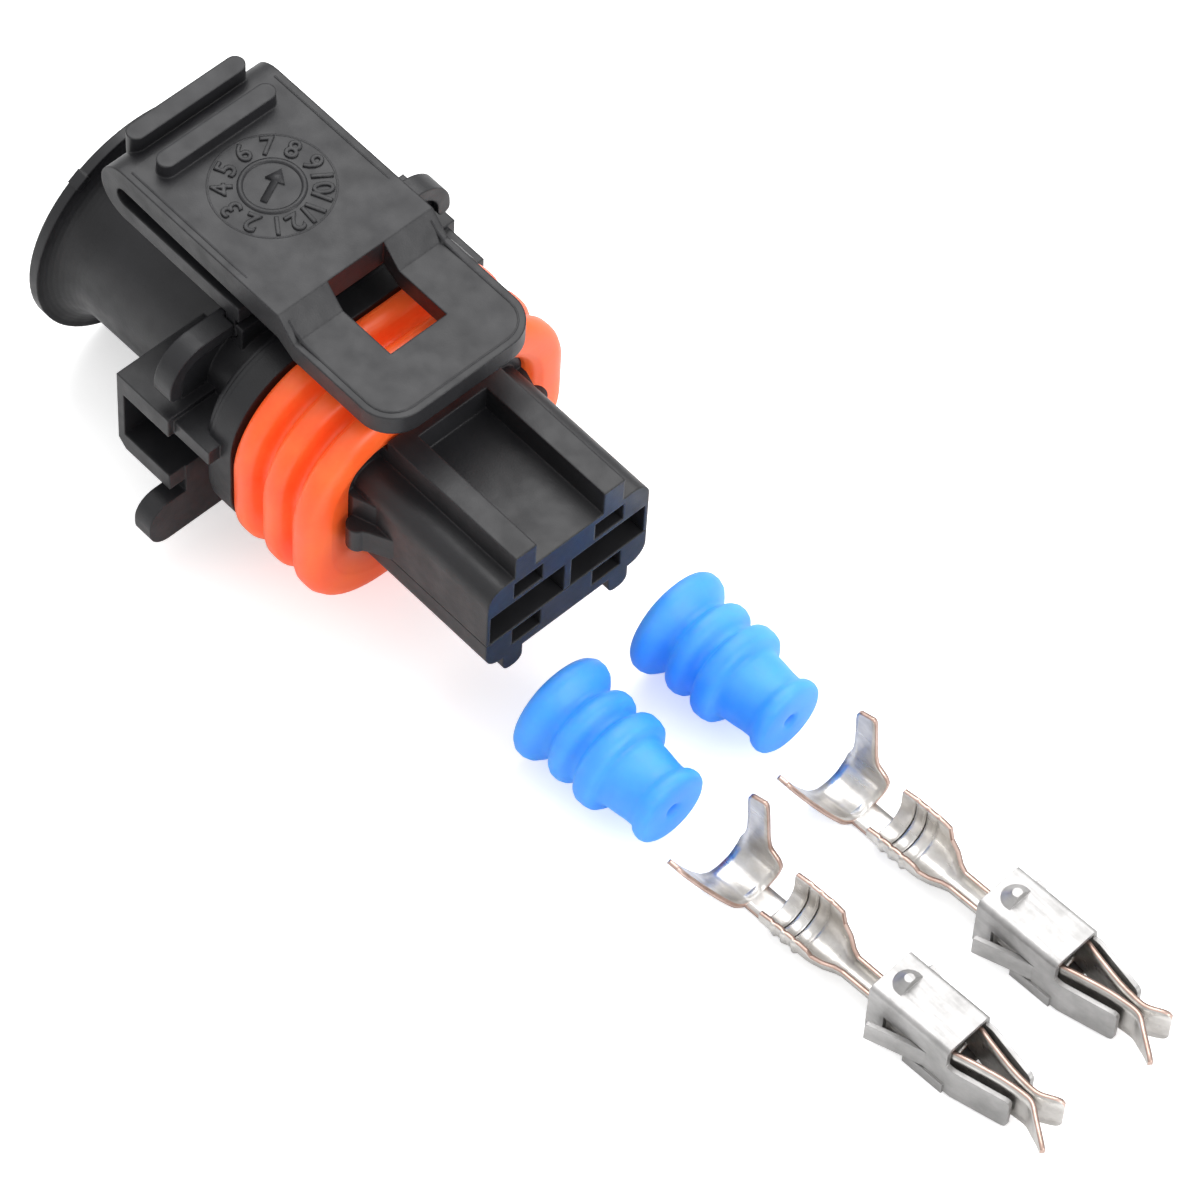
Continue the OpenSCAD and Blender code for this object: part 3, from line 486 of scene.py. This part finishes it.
def arrow_mesh():
    """The pointer inside the dial, from its outline in the lever's plane."""
    turn = Matrix.Rotation(math.radians(ARROW_TURN), 2)
    flat = [turn @ Vector(q) + Vector((DIAL_X, 0)) for q in ARROW]
    n = len(flat)
    verts = [(q.x, q.y, LEVER_TOP + z) for z in (-ARROW_SINK, ARROW_HEIGHT) for q in flat]
    sides = [[k, (k + 1) % n, n + (k + 1) % n, n + k] for k in range(n)]
    shaft, head, neck = (0, 1, 2, 6), (3, 4, 5), (2, 3, 5, 6)
    return verts, sides + [[n + k for k in face] for face in (shaft, head, neck)]


def number_mesh(number):
    """A number of the dial as a low relief, its top towards the rim."""
    curve = bpy.data.curves.new("numeral", "FONT")
    curve.body = str(number)
    curve.size = NUMBER_SIZE
    curve.align_x = "CENTER"
    curve.align_y = "CENTER"
    curve.extrude = NUMBER_HEIGHT
    curve.bevel_depth = NUMBER_BEVEL
    curve.resolution_u = 3
    obj = add_object("numeral", curve)
    bpy.context.view_layer.update()
    mesh = bpy.data.meshes.new_from_object(
        obj.evaluated_get(bpy.context.evaluated_depsgraph_get()))
    angle = math.radians(SEVEN_AT - 30 * (number - 7))
    place = (DIAL_X + NUMBER_R * math.cos(angle), NUMBER_R * math.sin(angle), LEVER_TOP)
    move = Matrix.Translation(place) @ Matrix.Rotation(angle - math.pi / 2, 4, "Z")
    verts = [tuple(move @ v.co) for v in mesh.vertices]
    faces = [list(f.vertices) for f in mesh.polygons]
    bpy.data.objects.remove(obj)
    bpy.data.curves.remove(curve)
    bpy.data.meshes.remove(mesh)
    return verts, faces


def add_dial():
    parts = [ring_mesh(*ring) for ring in DIAL_RINGS] + [arrow_mesh()]
    parts += [number_mesh(number) for number in range(1, 13)]
    add_piece("dial", *join(parts), [BLACK], "lever", "housing_plastic")


add_dial()

# ---------------------------------------------------------------- beads on the lever's edges
LEVER_FRONT_TOP = 7.95
BEAD_REAR, RAMP_REAR, RAMP_FRONT, CORNER_X = -25.3, -14.75, -13.65, -9.0
BEAD_Y, CORNER_R = 4.34, 1.47
BEAD_W, BEAD_H, BEAD_SINK = 0.14, 0.035, 0.04


def bead_path(side):
    """Points along one edge, down the ramp and round the corner to the middle."""
    y = side * BEAD_Y
    path = soften([(BEAD_REAR, y, LEVER_TOP), (RAMP_REAR, y, LEVER_TOP),
                   (RAMP_FRONT, y, LEVER_FRONT_TOP), (CORNER_X, y, LEVER_FRONT_TOP)], 1, 3)
    for a in range(15, 91, 15):
        t = math.radians(a)
        path.append((CORNER_X + CORNER_R * math.sin(t),
                     side * (BEAD_Y - CORNER_R * (1 - math.cos(t))), LEVER_FRONT_TOP))
    return path + [(CORNER_X + CORNER_R, 0, LEVER_FRONT_TOP)]


def bead_mesh(path):
    """A low bead along a path of points on the lever's top."""
    verts, n = [], len(path)
    for k, (x, y, z) in enumerate(path):
        a, b = path[max(k - 1, 0)], path[min(k + 1, n - 1)]
        d = Vector((b[0] - a[0], b[1] - a[1], 0)).normalized()
        for u, v in ((-0.5, -BEAD_SINK), (-0.3, BEAD_H), (0.3, BEAD_H), (0.5, -BEAD_SINK)):
            verts.append((x - d.y * u * BEAD_W, y + d.x * u * BEAD_W, z + v))
    return verts, quads(n, 4)


def add_beads():
    verts, faces = join([bead_mesh(bead_path(side)) for side in (-1, 1)])
    add_piece("lever_bead", verts, faces, [BLACK], "lever", "housing_plastic")


add_beads()

# ---------------------------------------------------------------- floor and light
FLOOR_HALF = 1.5
FLOOR_GAP = 0.02           # keeps the floor off the faces that lie on it, in millimetres
FLOOR_GLOW = 0.5           # for the camera alone, so the floor shows white
# Lamps: place, size and power. Both aim at the origin.
LAMPS = {"sky": ((-0.27, 0.27, 0.56), 0.55, 2.9), "front": ((0.5, 0.12, 0.3), 0.35, 1.6)}
# The world's strength grows from the horizon up to this height of the direction.
WORLD_LOW, WORLD_HIGH, WORLD_RISE = 0.55, 0.95, 0.75


def floor_material():
    g = Graph("floor_white")
    g.to("Base Color", g.blend(g.noise(scale=20, detail=2), 0.3, (0.9, 0.9, 0.9),
                               0.7, (0.92, 0.92, 0.92)))
    g.set(Roughness=0.7, Emission_Color=WHITE)
    seen = g.node("ShaderNodeLightPath").outputs["Is Camera Ray"]
    g.to("Emission Strength", g.remap(seen, (0.0, FLOOR_GLOW)))
    return g.mat


def add_floor():
    bm = bmesh.new()
    bmesh.ops.create_grid(bm, x_segments=2, y_segments=2, size=FLOOR_HALF)
    mesh = bpy.data.meshes.new("floor")
    bm.to_mesh(mesh)
    bm.free()
    mesh.materials.append(floor_material())
    obj = add_object("floor", mesh)
    obj.location.z = (FLOOR_Z - FLOOR_GAP) * MM


def add_lamp(name, place, size, power):
    light = bpy.data.lights.new(name, "AREA")
    light.shape = "SQUARE"
    light.size = size
    light.energy = power
    obj = add_object(name, light)
    obj.location = place
    obj.rotation_euler = (-Vector(place)).to_track_quat("-Z", "Y").to_euler()


def add_world():
    """A white background for the camera, and a plain sky for everything else."""
    world = bpy.data.worlds.new("world")
    bpy.context.scene.world = world
    world.use_nodes = True
    nodes, link = world.node_tree.nodes, world.node_tree.links.new
    direction = nodes.new("ShaderNodeTexCoord").outputs["Generated"]
    axes = nodes.new("ShaderNodeSeparateXYZ")
    rise = nodes.new("ShaderNodeMapRange")
    ambient = nodes["Background"]
    seen = nodes.new("ShaderNodeBackground")
    mix = nodes.new("ShaderNodeMixShader")
    for socket, number in (("From Min", 0.0), ("From Max", WORLD_RISE),
                           ("To Min", WORLD_LOW), ("To Max", WORLD_HIGH)):
        rise.inputs[socket].default_value = number
    for background in (ambient, seen):
        background.inputs["Color"].default_value = WHITE
    seen.inputs["Strength"].default_value = 1.0
    link(direction, axes.inputs["Vector"])
    link(axes.outputs["Z"], rise.inputs["Value"])
    link(rise.outputs["Result"], ambient.inputs["Strength"])
    link(nodes.new("ShaderNodeLightPath").outputs["Is Camera Ray"], mix.inputs["Fac"])
    link(ambient.outputs["Background"], mix.inputs[1])
    link(seen.outputs["Background"], mix.inputs[2])
    link(mix.outputs["Shader"], nodes["World Output"].inputs["Surface"])


add_floor()
for lamp, settings in LAMPS.items():
    add_lamp(lamp, *settings)
add_world()

bpy.context.scene.view_settings.view_transform = "Standard"
